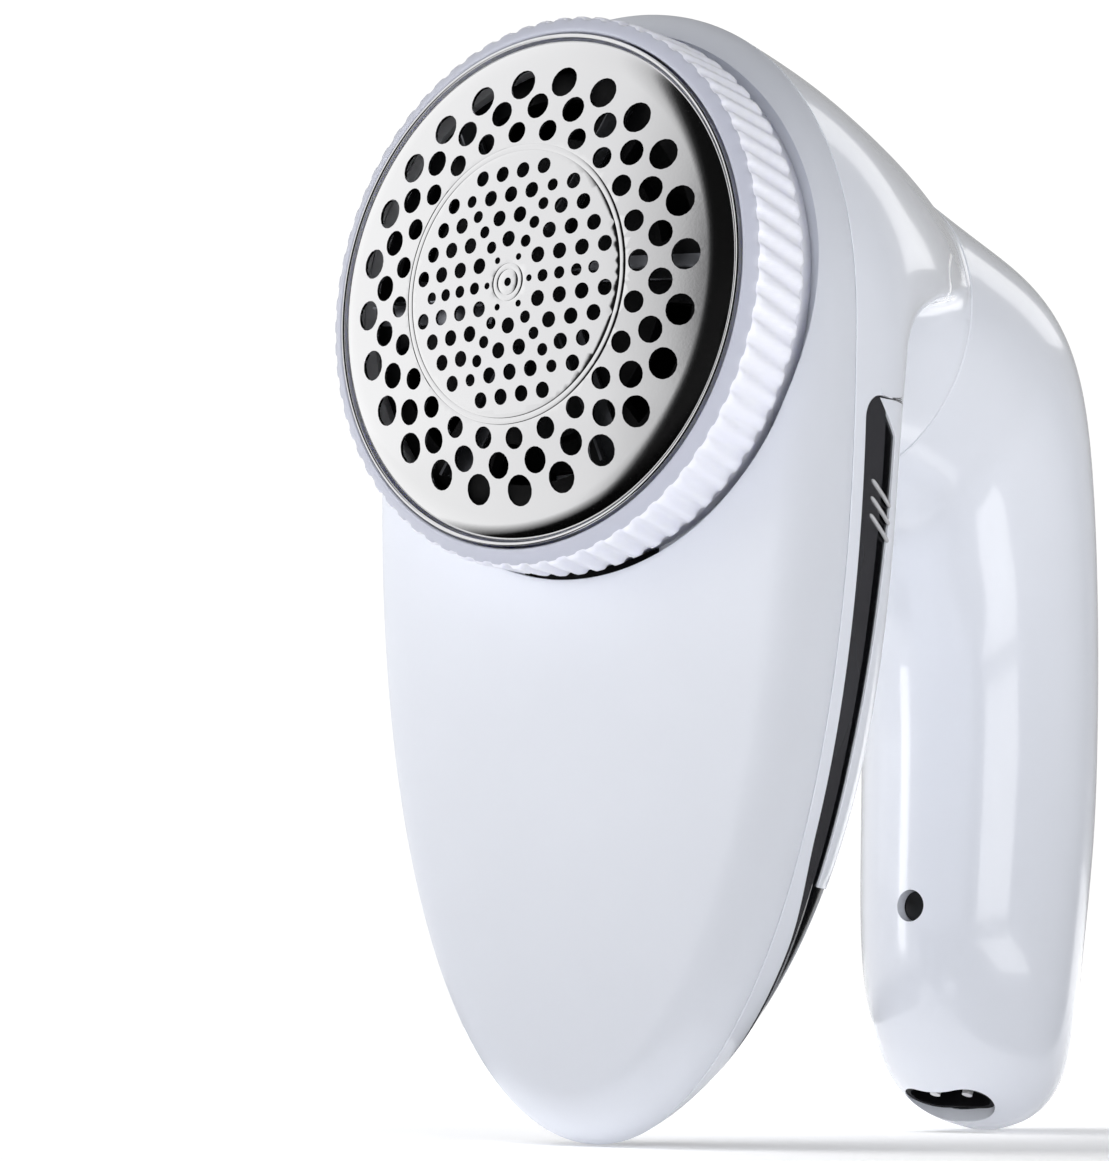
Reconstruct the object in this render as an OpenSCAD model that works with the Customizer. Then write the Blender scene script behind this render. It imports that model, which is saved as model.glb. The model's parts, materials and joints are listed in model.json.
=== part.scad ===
// Fabric shaver with a folding handle.
// X runs across, Z is up, the shaving face looks along -Y and the handle hangs at +Y.
// The origin is under the middle of the standing shaver, at its lowest point.
// Inside place() the head frame applies: its origin is on the foil's axis, in the plane
// of the outermost row of foil holes.

/* [Body] */
// Half of the body's greatest width
body_half_w = 41; // [40:0.5:43]
// Height of the body above its widest line
body_rise = 50; // [49:0.5:53]
// Depth of the body's taper below its widest line
body_drop = 106; // [100:1:112]
// Wall thickness of the white shells
wall = 2; // [1.8:0.1:2.2]

/* [Shaving head] */
// Radius of the steel foil
foil_r = 34.7; // [34.5:0.1:34.9]
// Radius of the foil's outermost row of holes
hole_row_r = 28; // [27:0.5:29]
// Radius of the knurled ring
ring_r = 38; // [37.5:0.5:39.5]
// Number of ribs round the knurled ring
ring_ribs = 72; // [60:4:96]
// Number of blades on the disc
blade_count = 6; // [3:1:8]

/* [Swivel and handle] */
// Radius of the round joint between neck and handle
joint_r = 24; // [23.5:0.5:25]
// Half width of the straight part of the handle
handle_half_w = 18.4; // [18:0.2:19]
// Radius of the power button
button_r = 5.5; // [5:0.5:6]

/* [Drive and battery] */
// Radius of the motor
motor_r = 12; // [10:0.5:13]
// Length of the motor
motor_len = 27; // [22:1:29]
// Radius of the motor shaft
shaft_r = 1.15; // [1:0.05:1.5]
// Radius of the battery cell
cell_r = 9.1; // [7:0.1:9.2]
// Length of the battery cell
cell_len = 50; // [40:1:52]

/* [Hidden] */

$fn = 64;
eps = 0.01;
white = "#eceef4";
smoke = "#2b2c30";
steel = "#c9ccd0";

// Head frame to part frame
head_y = -64.2;
widest_z = -8;
head_z = body_drop - widest_z;

// Fixed stations along Y in the head frame
face_y = 13.5;
seam_y = 20;
rim_y = 22.6;
back_y = 34.4;
face_edge = 7.5;
outline_power = 2 / 2.3;
steps = 48;

// Swivel axis: through joint_c, tilted down towards the back
joint_c = [0, 72.6, 6.5];
joint_tilt = 6;
joint_gap = 0.35;

// The lint box's slot in the body, in the head frame
slot_top = -15.2;
arch_r = 37.5;
panel_end = -80;
play = 0.15;
roof_t = 1.6;
// How much deeper the white rim is round the tip
rim_step = 1.8;

// Charging port in the handle's lower end
port_c = [0, 104, -107.6];
port_tilt = 68;
port_w = 15;
port_h = 8.4;
pin_gap = 5.8;
pin_r = 0.8;
pin_root_r = 1.3;
pin_sunk = 2;

// Handle back opening
cover_half_w = 10;
cover_top = -14;
cover_end = -92;
button_z = -32;
cell_y = 109;
cell_top = -28;
board_y = 121.1;

// ---- helpers -----------------------------------------------------------------

module place() translate([0, head_y, head_z]) children();

// A frame on the swivel axis: local +Z runs from the neck into the handle
module on_joint(s = 0) translate(joint_c) rotate([-90 - joint_tilt, 0, 0]) translate([0, 0, s]) children();

// A frame on the foil's axis: local +Z runs from the foil into the body
module on_axis(y = 0) translate([0, y, 0]) rotate([-90, 0, 0]) children();

// A frame at the charging port: local +Z points out of the port
module on_port() translate(port_c) rotate([90 + port_tilt, 0, 0]) children();

// A frame on the back of the handle: local +Z points backwards, away from it
module on_back(y, z) translate([0, y, z]) rotate([-90, 0, 0]) children();

module tube(r_out, r_in, h) {
    difference() {
        cylinder(r = r_out, h = h);
        translate([0, 0, -eps]) cylinder(r = r_in, h = h + 2 * eps);
    }
}

module stadium(w, h, depth) {
    linear_extrude(depth) {
        square([w - h, h], center = true);
        for (side = [-1, 1]) translate([side * (w - h) / 2, 0]) circle(d = h);
    }
}

// Uniform cubic B-spline through a list of control values, u from 0 to len - 1
function control(p, i) =
    i < 0 ? 2 * p[0] - p[1]
    : i > len(p) - 1 ? 2 * p[len(p) - 1] - p[len(p) - 2]
    : p[i];
function spline(p, u) =
    let (i = min(floor(u), len(p) - 2), f = u - i)
    (pow(1 - f, 3) * control(p, i - 1) + (3 * f * f * f - 6 * f * f + 4) * control(p, i)
    + (-3 * f * f * f + 3 * f * f + 3 * f + 1) * control(p, i + 1) + f * f * f * control(p, i + 2)) / 6;

// A closed solid over a list of rings that have the same number of points
module skin(rings) {
    n = len(rings[0]);
    m = len(rings);
    polyhedron(
        points = [for (ring = rings) each ring],
        faces = concat(
            [[for (i = [0:n - 1]) i]],
            [for (k = [0:m - 2]) for (i = [0:n - 1]) let (j = (i + 1) % n)
                each [[k * n + i, k * n + n + i, k * n + n + j], [k * n + i, k * n + n + j, k * n + j]]],
            [[for (i = [n - 1:-1:0]) (m - 1) * n + i]]));
}

// Points of the egg-shaped outline, inset by d: angle 0 is the top and 90 the +X side
function rounded(c) = sign(c) * pow(abs(c), outline_power);
function egg(t, d) = [(body_half_w - d) * sin(t),
    widest_z + ((cos(t) > 0 ? body_rise : body_drop) - d) * rounded(cos(t))];
function egg_ring(y, d) = [for (i = [0:steps - 1]) let (p = egg(i * 360 / steps, d)) [p[0], y, p[1]]];

// Front shell: a flat face with a rounded edge that meets the seam
function face_rings(d, y0) = [for (a = [0:15:90])
    egg_ring(y0 + (seam_y - y0) * (1 - cos(a)), d + face_edge * (1 - sin(a)))];

// Rear shell: each direction has its own profile from the seam to the round joint.
// A profile is a list of [share of the way inwards, y].
profile_top = [[0, 20], [0.08, 25], [0.19, 32], [0.32, 40], [0.5, 50], [0.68, 60], [0.84, 68], [1, 75.1]];
profile_side = [[0, 20], [0, 26], [0.05, 33], [0.17, 40], [0.35, 49], [0.57, 58], [0.8, 66], [1, 72.6]];
profile_low = [[0, 20], [0, 26.4], [0.02, 32], [0.2, 34], [0.52, 34.4], [0.84, 37], [1, 50], [1, 71.4]];
profile_tip = [[0, 20], [0.012, 23], [0.07, 27], [0.26, 32.6], [0.55, 34.6], [0.84, 35], [0.985, 48], [1, 70.1]];

function mix(a, b, w) = a * (1 - w) + b * w;
function ease(w) = w * w * (3 - 2 * w);
function profile(t) =
    let (v = t > 180 ? 360 - t : t)
    v < 80 ? mix(profile_top, profile_side, ease(v / 80))
    : v < 100 ? mix(profile_side, profile_low, ease((v - 80) / 20))
    : v < 114 ? profile_low
    : mix(profile_low, profile_tip, ease((v - 114) / 66));
function joint_ring(r, s = 0) = [for (i = [0:steps - 1]) let (t = i * 360 / steps)
    joint_c + [r * sin(t), r * cos(t) * sin(joint_tilt) + s * cos(joint_tilt),
        r * cos(t) * cos(joint_tilt) - s * sin(joint_tilt)]];
function rear_ring(u, d) = [for (i = [0:steps - 1])
    let (t = i * 360 / steps, q = spline(profile(t), u), e = egg(t, d), j = joint_ring(joint_r - d)[i])
    [mix(e[0], j[0], q[0]), q[1] - d * sin(180 * u / 7), mix(e[1], j[2], q[0])]];
function rear_rings(d) = concat([for (k = [0:12]) rear_ring(k * 6.5 / 12, d)], [joint_ring(joint_r - d)]);

module rear_outer() skin(rear_rings(0));
module rear_inner() {
    skin(concat([egg_ring(seam_y - 1, wall)], rear_rings(wall), [joint_ring(joint_r - wall, 2)]));
}

// What belongs to the lint box: all below the slot's round top and outside the arch
// round the neck. grow widens it for the clearance in the rear shell.
module lint_zone(grow = 0) {
    front = rim_y - grow;
    difference() {
        union() {
            rotate([90, 0, 90]) linear_extrude(120, center = true)
                polygon([[front, slot_top - 4], [front, -77], [front + rim_step, -86],
                    [front + rim_step, -130], [80, -130], [80, slot_top - 4 + grow]]);
            translate([0, rim_y + 3.6, slot_top - 3.6]) rotate([0, 90, 0])
                cylinder(r = 3.6 + grow, h = 120, center = true);
        }
        translate([0, 10, joint_c[2]]) rotate([-90, 0, 0]) cylinder(r = arch_r - grow, h = 80);
    }
}

// The dark band's back edge closes in on the front rim towards the tip, and its back corner
// is cut off at the top
module band_zone() {
    rotate([90, 0, 90]) linear_extrude(120, center = true)
        polygon([[rim_y - 5, -10], [20.5, -10], [25.4, slot_top], [29.9, -20], [28.4, -40], [27, -62],
            [26.3, panel_end], [40, panel_end], [40, -130], [rim_y - 5, -130]]);
}

// Handle: control stations from the joint round the elbow and down to the tip.
// Each is [centre y, centre z, turn of the section, half depth, half width].
w = handle_half_w;
handle_stations = [
    [72.6, 6.5, 6, joint_r, joint_r], [80.5, 5.0, 10.5, 23.6, 23.4], [89, 3.4, 17, 23.7, 22.7],
    [97, 1.6, 25.5, 24.6, 21.6], [103, -2.8, 34.5, 26.3, 20.7], [106.8, -9.7, 41, 26.1, 20],
    [109.3, -18, 48, 23.6, 19.4], [110.9, -28, 58, 20.8, 19], [111.7, -39, 70, 18.9, 18.7],
    [112, -51, 82, 18, w], [111.6, -66, 90, 17.9, w - 0.3], [110.1, -82, 90, 17.2, w - 1.2],
    [110.2, -92, 90, 16.2, w - 2.2], [111, -100, 90, 14.6, w - 3.8], [111.9, -106, 90, 11.9, w - 6.6],
    [113.3, -109.6, 90, 7, w - 11.5], [114, -110.8, 90, 2, 2]];
function station_ring(q, d) = [for (i = [0:steps - 1])
    let (t = i * 360 / steps, depth = max(q[3] - d, 0.5))
    [max(q[4] - d, 0.5) * sin(t), q[0] + depth * cos(t) * sin(q[2]), q[1] + depth * cos(t) * cos(q[2])]];
function handle_rings(d, last) = [for (k = [0:0.5:last]) station_ring(spline(handle_stations, k), d)];

module handle_outer() skin(handle_rings(0, len(handle_stations) - 1));
module handle_inner() skin(handle_rings(wall, len(handle_stations) - 4));
module cover_zone(half_w, top, end) {
    translate([-half_w, 120, end]) cube([2 * half_w, 20, top - end]);
}

// The back cover's two screws: [height, y of the head's seat, y of the tab's back]
cover_screws = [[cover_top - 3.5, 127.3, 126.1], [cover_end + 3.5, 125.1, 123.8]];

// ---- head ---------------------------------------------------------------------

screw_spots = [[-33, -22], [33, -22], [-27, -62], [27, -62]];

module front_shell() color(white) place() {
    difference() {
        skin(face_rings(0, face_y));
        difference() {
            skin(concat(face_rings(wall, face_y + wall), [egg_ring(seam_y + 1, wall)]));
            for (p = screw_spots) translate([p[0], 0, p[1]]) on_axis(face_y) cylinder(r = 3.2, h = 10);
        }
        on_axis(face_y - 1) cylinder(r = 33.4, h = 10);
        on_axis(face_y + wall) cylinder(r = 36, h = 10);
        for (p = screw_spots) translate([p[0], 0, p[1]]) on_axis(face_y + 2) cylinder(r = 1.2, h = 10);
    }
}

module rear_shell() color(white) place() {
    difference() {
        union() {
            difference() {
                rear_outer();
                rear_inner();
            }
            // The bay's roof, which closes off the neck
            intersection() {
                rear_outer();
                lint_zone(play + roof_t);
                translate([-60, rim_y, -40]) cube([120, 60, 60]);
            }
        }
        lint_zone(play);
    }
}

module chassis_plate() color("#d9dbe2") place() {
    difference() {
        intersection() {
            skin([egg_ring(seam_y + 0.2, wall + 0.3), egg_ring(rim_y - 0.5, wall + 1.4)]);
            translate([-60, seam_y, -104]) cube([120, 5, 160]);
        }
        on_axis(seam_y - 1) cylinder(r = 11, h = 10);
        translate([-10, seam_y - 1, -44]) cube([20, 5, 10]);
        for (p = screw_spots) translate([p[0], 0, p[1]]) {
            on_axis(seam_y - 1) cylinder(r = 1.5, h = 10);
            on_axis(rim_y - 1.9) cylinder(r = 2.8, h = 3);
        }
        for (side = [-1, 1]) translate([side * 17, 0, 0]) on_axis(seam_y - 1) cylinder(r = 1.3, h = 10);
    }
}

module chassis_screws() color(steel) place() {
    for (p = screw_spots) translate([p[0], 0, p[1]]) {
        on_axis(face_y + 2.5) cylinder(r = 1.15, h = rim_y - 1.8 - face_y - 2.5);
        on_axis(rim_y - 1.85) cylinder(r = 2.6, h = 1.3);
    }
}

module cutter_housing() color("#1d1d20") place() {
    difference() {
        union() {
            on_axis(8) cylinder(r = 33, h = 12);
            on_axis(face_y + wall + 0.1) cylinder(r = 35.8, h = 1.8);
            translate([-11.5, face_y + wall + 0.1, -45.5]) cube([23, seam_y - face_y - wall - 0.1, 20]);
        }
        on_axis(7) cylinder(r = 31.2, h = 11);
        on_axis(7) cylinder(r = 2, h = 20);
        translate([-10, 17, -44]) cube([20, 10, 22]);
    }
}

// Foil profile: a shallow dome, a rolled edge and a skirt inside the ring
dome_r = 138;
dome_top = -2.84;
edge_start = 31;
foil_t = 0.4;
function dome_y(r) = dome_top + dome_r - sqrt(dome_r * dome_r - r * r);
function foil_line(d) = concat(
    [for (r = [0:edge_start / 8:edge_start]) [r, dome_y(r) + d]],
    [for (a = [15:15:90]) [edge_start + (foil_r - edge_start - d) * sin(a),
        dome_y(edge_start) + d + (2.8 - d) * (1 - cos(a))]],
    [[foil_r - d, 8]]);
module hole_row(count, r, hole_d, start) {
    for (i = [0:count - 1]) rotate([0, start + i * 360 / count, 0]) translate([r, 0, 0])
        on_axis(-5) cylinder(d = hole_d, h = 12, $fn = 24);
}

module foil() color(steel) place() {
    difference() {
        rotate([-90, 0, 0]) rotate_extrude($fn = 96) {
            outer = foil_line(0);
            inner = foil_line(foil_t);
            polygon(concat(outer, [for (i = [len(inner) - 1:-1:0]) inner[i]]));
        }
        hole_row(24, hole_row_r, 4.2, -1.2);
        hole_row(24, hole_row_r - 3.47, 3.6, 6.3);
        hole_row(24, hole_row_r - 6.94, 3, -1.2);
        hole_row(1, 0, 1.2, 0);
        hole_row(6, 3.7, 0.95, -1.2);
        for (k = [1:4]) hole_row(6, 3.25 + 2.76 * k, 1.7, -1.2);
        for (n = [1:4]) for (i = [0:n - 1]) let (x = 2.83 + 3.13 * n, z = (i - (n - 1) / 2) * 3.62)
            hole_row(6, norm([x, z]), 2.2, 28.8 + atan2(z, x));
    }
}

module foil_ring() color(white) place() {
    base = face_y - 0.3;
    rib_start = 3.4;
    difference() {
        union() {
            rotate([-90, 0, 0]) rotate_extrude($fn = 96)
                polygon([[34, base], [ring_r - 0.9, base], [ring_r - 0.9, rib_start], [ring_r - 1.5, 2.8], [34, 2.2]]);
            on_axis(rib_start) linear_extrude(base - rib_start)
                polygon([for (i = [0:2 * ring_ribs - 1])
                    (ring_r - (i % 2) * 0.7) * [cos(i * 180 / ring_ribs), sin(i * 180 / ring_ribs)]]);
        }
        on_axis(2) cylinder(r = foil_r + 0.05, h = 6.2);
        on_axis(2) cylinder(r = 33.35, h = 20);
    }
}

module foil_retainer() color("#d9dbe2") place() {
    on_axis(6) tube(foil_r - foil_t - 0.05, 32.2, 1.7);
}

// ---- drive --------------------------------------------------------------------

disc_y = 4.2;

module blade_disc() color("#17171a") place() {
    difference() {
        union() {
            on_axis(disc_y) cylinder(r = 30, h = 2);
            on_axis(disc_y) cylinder(r = 7, h = 7.5);
        }
        on_axis(disc_y + 1.5) cylinder(r = 4.02, h = 10);
        for (i = [0:blade_count - 1]) rotate([0, i * 360 / blade_count + 30, 0])
            on_axis(disc_y - 1) rotate(-19) rotate_extrude(angle = 38)
                translate([21, 0]) square([5.5, 5]);
    }
}

module blades() color(steel) place() {
    for (i = [0:blade_count - 1]) rotate([0, i * 360 / blade_count, 0]) {
        translate([8, disc_y - 3, 1.2]) rotate([-20, 6, 0]) cube([20.5, 3, 0.35]);
        translate([8, disc_y - 0.55, 0.1]) rotate([0, 6, 0]) cube([20.5, 0.5, 3.4]);
    }
}

module drive_hub() color("#1d1d20") place() {
    difference() {
        on_axis(disc_y + 1.6) cylinder(r = 4, h = 10);
        on_axis(disc_y + 4) cylinder(r = shaft_r, h = 10);
    }
}

motor_y = 24.2;

module motor_shaft() color(steel) place() {
    on_axis(disc_y + 4) cylinder(r = shaft_r, h = motor_y + 4 - disc_y);
}

module motor() color("#aeb3ba") place() {
    difference() {
        union() {
            on_axis(motor_y) cylinder(r = motor_r, h = motor_len);
            on_axis(motor_y - 1.4) cylinder(r = 3.4, h = 2);
            on_axis(motor_y + motor_len - 0.5) cylinder(r = 4.5, h = 2.5);
            for (side = [-1, 1]) translate([side * 7 - 1, motor_y + motor_len - 0.5, -1]) cube([2, 4, 2]);
        }
        on_axis(motor_y - 2) cylinder(r = shaft_r + 0.05, h = 11);
        for (side = [-1, 1]) translate([side * 7.5, 0, 0]) on_axis(motor_y - 1) cylinder(r = 1.1, h = 5);
    }
}

module motor_mount() color("#8d939b") place() {
    difference() {
        translate([-20, rim_y - 0.3, -10]) cube([40, 1.8, 20]);
        on_axis(rim_y - 1) cylinder(r = 3.5, h = 4);
        for (x = [-17, -7.5, 7.5, 17]) translate([x, 0, 0]) on_axis(rim_y - 1) cylinder(r = 1.3, h = 4);
    }
}

module motor_screws() color(steel) place() {
    for (side = [-1, 1]) translate([side * 7.5, 0, 0]) {
        on_axis(rim_y - 1.6) cylinder(r = 2.2, h = 1.2);
        on_axis(rim_y - 0.5) cylinder(r = 1.1, h = 5);
    }
    for (side = [-1, 1]) translate([side * 17, 0, 0]) {
        on_axis(seam_y + 0.3) cylinder(r = 1.2, h = 3.8);
        on_axis(rim_y + 1.55) cylinder(r = 2.2, h = 1.2);
    }
}

// A round lead that follows a smooth curve through its control points
function unit(v) = v / norm(v);
module lead(points, r) {
    last = len(points) - 1;
    skin([for (u = [0:0.5:last])
        let (here = spline(points, u), v = spline(points, min(u + 0.1, last)) - spline(points, max(u - 0.1, 0)),
            side = unit(cross(unit(v), [1, 0, 0])), over = unit(cross(side, v)))
        [for (a = [0:45:315]) here + r * (sin(a) * over + cos(a) * side)]]);
}

module motor_leads() color("#b03030") place() {
    end = motor_y + motor_len + 4;
    for (side = [-1, 1])
        lead([[side * 7, end, 0], [side * 6, end + 3, 2], [side * 1.5, 66, 7], [side * 1.5, 72.4, 6.5]], 0.7);
}

// ---- lint box -----------------------------------------------------------------

module lint_box() color(smoke) place() {
    difference() {
        intersection() {
            rear_outer();
            lint_zone();
            union() {
                band_zone();
                skin([egg_ring(rim_y, 3), egg_ring(back_y - wall - 0.6, 3)]);
            }
        }
        difference() {
            intersection() {
                skin([egg_ring(rim_y + 1.4, 5), egg_ring(back_y - wall - 2, 6.5)]);
                translate([-60, rim_y, -79]) cube([120, 20, 79 + slot_top - 7]);
            }
            translate([0, 10, joint_c[2]]) rotate([-90, 0, 0]) cylinder(r = arch_r + 1.5, h = 80);
        }
        translate([-9.5, rim_y - 1, -44]) cube([19, 4, 10]);
    }
    for (k = [0:2]) for (side = [-1, 1])
        translate([side * 40.45, 27.1, -28 - k * 2.3]) rotate([-27, 0, 0])
            rotate([90, 0, 0]) cylinder(r = 0.45, h = 4.6, center = true, $fn = 16);
}

module lint_panel() color(white) place() {
    difference() {
        intersection() {
            rear_outer();
            lint_zone();
        }
        band_zone();
        skin([egg_ring(rim_y - 1, 2.6), egg_ring(back_y - wall - 0.5, 2.6)]);
    }
}

// ---- swivel -------------------------------------------------------------------

spindle_r = 13;

module neck_bush() color("#d9dbe2") place() {
    on_joint(-8) tube(joint_r - wall - 0.1, spindle_r + 0.05, 7.7);
}

module swivel_spindle() color("#c7cad3") place() {
    difference() {
        union() {
            on_joint(-11.5) cylinder(r = spindle_r, h = 16.5);
            on_joint(3) cylinder(r = 20.5, h = 2.5);
        }
        on_joint(-12) cylinder(r = 9.5, h = 20);
        on_joint(-10.6) tube(15, spindle_r - 1, 1.1);
        for (a = [90, 210, 330]) on_joint(2) rotate(a) translate([17, 0, 0]) cylinder(r = 1.3, h = 5);
    }
}

module spindle_screws() color(steel) place() {
    for (a = [90, 210, 330]) {
        on_joint(1.4) rotate(a) translate([17, 0, 0]) cylinder(r = 1.2, h = 4.2);
        on_joint(5.55) rotate(a) translate([17, 0, 0]) cylinder(r = 2.2, h = 1.3);
    }
}

module retaining_ring() color(steel) place() {
    on_joint(-10.55) tube(16.5, spindle_r - 0.95, 1);
}

module friction_washer() color("#d8b45a") place() {
    on_joint(-9.2) tube(17, spindle_r + 0.3, 0.9);
}

// ---- handle -------------------------------------------------------------------

module handle_shell() color(white) place() {
    difference() {
        handle_outer();
        on_joint(-5) cylinder(r = 40, h = 5 + joint_gap);
        difference() {
            handle_inner();
            on_joint(-5) cylinder(r = 40, h = 8);
            translate([-20, 90, -140]) cube([40, 50, 140 - 98]);
        }
        on_joint(-1) cylinder(r = spindle_r + 0.1, h = 6);
        for (a = [90, 210, 330]) on_joint(1.3) rotate(a) translate([17, 0, 0]) cylinder(r = 1.2, h = 5);
        cover_zone(cover_half_w, cover_top, cover_end);
        on_axis(90) translate([0, 77.7, 0]) cylinder(r = 2.4, h = 8);
        on_port() translate([0, 0, -9]) stadium(port_w, port_h, 20);
    }
    for (q = cover_screws) difference() {
        union() {
            translate([-4, 116, q[0] - 3.6]) cube([8, q[2] - 116, 7.2]);
            translate([-4, 116, q[0] + (q[0] > -50 ? 3.4 : -8.4)]) cube([8, q[2] - 115.2, 5]);
        }
        on_back(115, q[0]) cylinder(r = 1.2, h = 20);
    }
}

module handle_back() color(white) place() {
    difference() {
        intersection() {
            handle_outer();
            cover_zone(cover_half_w - 0.15, cover_top - 0.15, cover_end + 0.15);
        }
        handle_inner();
        on_back(120, button_z) cylinder(r = button_r + 0.3, h = 20);
        for (q = cover_screws) {
            on_back(118, q[0]) cylinder(r = 1.4, h = 20);
            on_back(q[1], q[0]) cylinder(r = 2.6, h = 20);
        }
    }
}

module handle_screws() color(steel) place() {
    for (q = cover_screws) {
        on_back(q[1] - 6, q[0]) cylinder(r = 1.15, h = 6.1);
        on_back(q[1] + 0.05, q[0]) cylinder(r = 2.3, h = 1.2);
    }
}

module power_button() color("#dfe2ec") place() {
    difference() {
        union() {
            on_back(board_y + 3.2, button_z) cylinder(r = button_r + 1.2, h = 1);
            on_back(board_y + 3.2, button_z) cylinder(r = button_r, h = 6.9);
        }
        on_back(board_y + 3, button_z) cylinder(r = button_r - 1, h = 1.5);
    }
}

module button_switch() color("#2a2a2e") place() {
    translate([-2.8, board_y + 1.2, button_z - 2.8]) cube([5.6, 1.8, 5.6]);
    on_back(board_y + 2.9, button_z) cylinder(r = 1.6, h = 0.8);
}

module control_board() color("#2f6b45") place() {
    translate([-7.5, board_y, -84]) cube([15, 1.2, 62]);
    for (z = [-76, -62, -50]) translate([-4, board_y + 1.2 - eps, z]) cube([8, 1.5, 5]);
}

module battery() color("#3d6fb0") place() {
    translate([0, cell_y, cell_top - cell_len]) cylinder(r = cell_r, h = cell_len);
    translate([0, cell_y, cell_top - eps]) cylinder(r = 3, h = 1.2);
}

module battery_cradle() color("#d9dbe2") place() {
    translate([0, cell_y, cell_top - cell_len]) difference() {
        translate([0, 0, -2]) cylinder(r = cell_r + 1.6, h = cell_len - 6);
        cylinder(r = cell_r + 0.1, h = cell_len);
        translate([-20, 2, 2]) cube([40, 20, cell_len]);
    }
}

module handle_leads() color("#303030") place() {
    for (side = [-1, 1])
        lead([[side * 1.5, 72.8, 6.5], [side * 1.5, 84, 4], [side * 4, 100, -12],
            [side * 5, 116, -20], [side * 5, board_y, -21.2]], 0.7);
}

module indicator_lens() color("#9aa3ad") place() {
    on_axis(95.4) translate([0, 77.7, 0]) cylinder(r = 2.35, h = 2.4);
}

module charging_socket() color("#111113") place() {
    on_port() difference() {
        translate([0, 0, -9]) stadium(port_w - 0.1, port_h - 0.1, 7.4);
        translate([0, 0, -7]) stadium(port_w - 1.6, port_h - 1.6, 12);
        for (side = [-1, 1]) translate([side * pin_gap / 2, 0, -10]) cylinder(r = pin_root_r, h = 8);
    }
}

module charging_pins() color(steel) place() {
    on_port() for (side = [-1, 1]) translate([side * pin_gap / 2, 0, -8.95]) {
        cylinder(r = pin_root_r, h = 1.93);
        cylinder(r = pin_r, h = 8.95 - pin_sunk);
    }
}

front_shell();
rear_shell();
chassis_plate();
chassis_screws();
cutter_housing();
foil();
foil_ring();
foil_retainer();
blade_disc();
blades();
drive_hub();
motor_shaft();
motor();
motor_mount();
motor_screws();
motor_leads();
lint_box();
lint_panel();
neck_bush();
swivel_spindle();
spindle_screws();
friction_washer();
retaining_ring();
handle_shell();
handle_back();
handle_screws();
power_button();
button_switch();
control_board();
battery();
battery_cradle();
handle_leads();
indicator_lens();
charging_socket();
charging_pins();
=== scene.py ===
"""Fabric shaver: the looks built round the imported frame.

Shapes are worked out in millimetres in the head's own frame (origin on the foil's axis, +X across, +Z up,
+Y from the foil towards the handle) and put into the part's frame by place().
"""
import json
import math
from contextlib import contextmanager

import bmesh
import bpy
import numpy as np
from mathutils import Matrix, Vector
from mathutils.geometry import delaunay_2d_cdt


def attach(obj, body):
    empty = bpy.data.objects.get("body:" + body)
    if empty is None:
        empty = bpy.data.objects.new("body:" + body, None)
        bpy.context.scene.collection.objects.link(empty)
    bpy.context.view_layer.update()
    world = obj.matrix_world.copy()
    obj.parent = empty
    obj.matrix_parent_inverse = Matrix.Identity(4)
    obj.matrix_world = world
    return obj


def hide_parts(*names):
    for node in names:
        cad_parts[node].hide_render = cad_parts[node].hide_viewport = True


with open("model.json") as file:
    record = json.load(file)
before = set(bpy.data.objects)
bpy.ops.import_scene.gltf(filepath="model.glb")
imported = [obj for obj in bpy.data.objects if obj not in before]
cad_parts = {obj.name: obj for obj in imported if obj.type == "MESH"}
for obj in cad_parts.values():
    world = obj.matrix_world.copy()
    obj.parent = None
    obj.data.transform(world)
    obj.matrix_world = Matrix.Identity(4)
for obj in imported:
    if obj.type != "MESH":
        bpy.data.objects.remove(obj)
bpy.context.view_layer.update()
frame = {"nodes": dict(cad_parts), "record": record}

# ---- dimensions, in millimetres, shared with the CAD -------------------------------

HEAD_ORIGIN = np.array([0.0, -64.2, 114.0])   # in the part's frame
WALL = 2.0

# the body's egg-shaped outline, seen from the front
HALF_W = 41.0
RISE = 50.0
DROP = 106.0
WIDEST_Z = -8.0
OUTLINE_POWER = 2 / 2.3

# the front shell's flat face and rounded edge, and the seam behind them
FACE_Y = 13.5
FACE_EDGE = 7.5
SEAM_Y = 20.0

# the round joint between the neck and the handle
JOINT_C = np.array([0.0, 72.6, 6.5])
JOINT_R = 24.0
JOINT_TILT = math.radians(6)
JOINT_AXIS = np.array([0, math.cos(JOINT_TILT), -math.sin(JOINT_TILT)])
JOINT_GAP = 0.35

# the bay that the lint box fills; its front edge steps back by RIM_STEP low down
RIM_Y = 22.6
RIM_STEP = 1.8
STEP_TOP = -73
STEP_LENGTH = 16
SLOT_TOP = -15.2
SLOT_ROUND = 3.6
ARCH_R = 37.5
PANEL_END = -80.0

# foil: a shallow dome with a rolled edge
FOIL_R = 34.7
FOIL_T = 0.4
DOME_R = 138.0
DOME_TOP = -2.84
EDGE_START = 31.0
EDGE_DEPTH = 2.8

# handle
HANDLE_HALF_W = 18.4
PORT_C = np.array([0.0, 104.0, -107.6])
PORT_TILT = math.radians(68)
PORT_W = 15.0
PORT_H = 8.4
BOARD_Y = 121.1
BUTTON_Z = -32.0
BUTTON_R = 5.5
LENS_Z = -77.7
LENS_R = 2.4
COVER_HALF_W = 10.0
COVER_TOP = -14.0
COVER_END = -92.0
SCREWS = ((COVER_TOP - 3.5, 127.3), (COVER_END + 3.5, 125.1))   # z and y of each screw's seat
SCREW_WELL_R = 2.6

# ---- dimensions of the looks only ----------------------------------------------------

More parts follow.
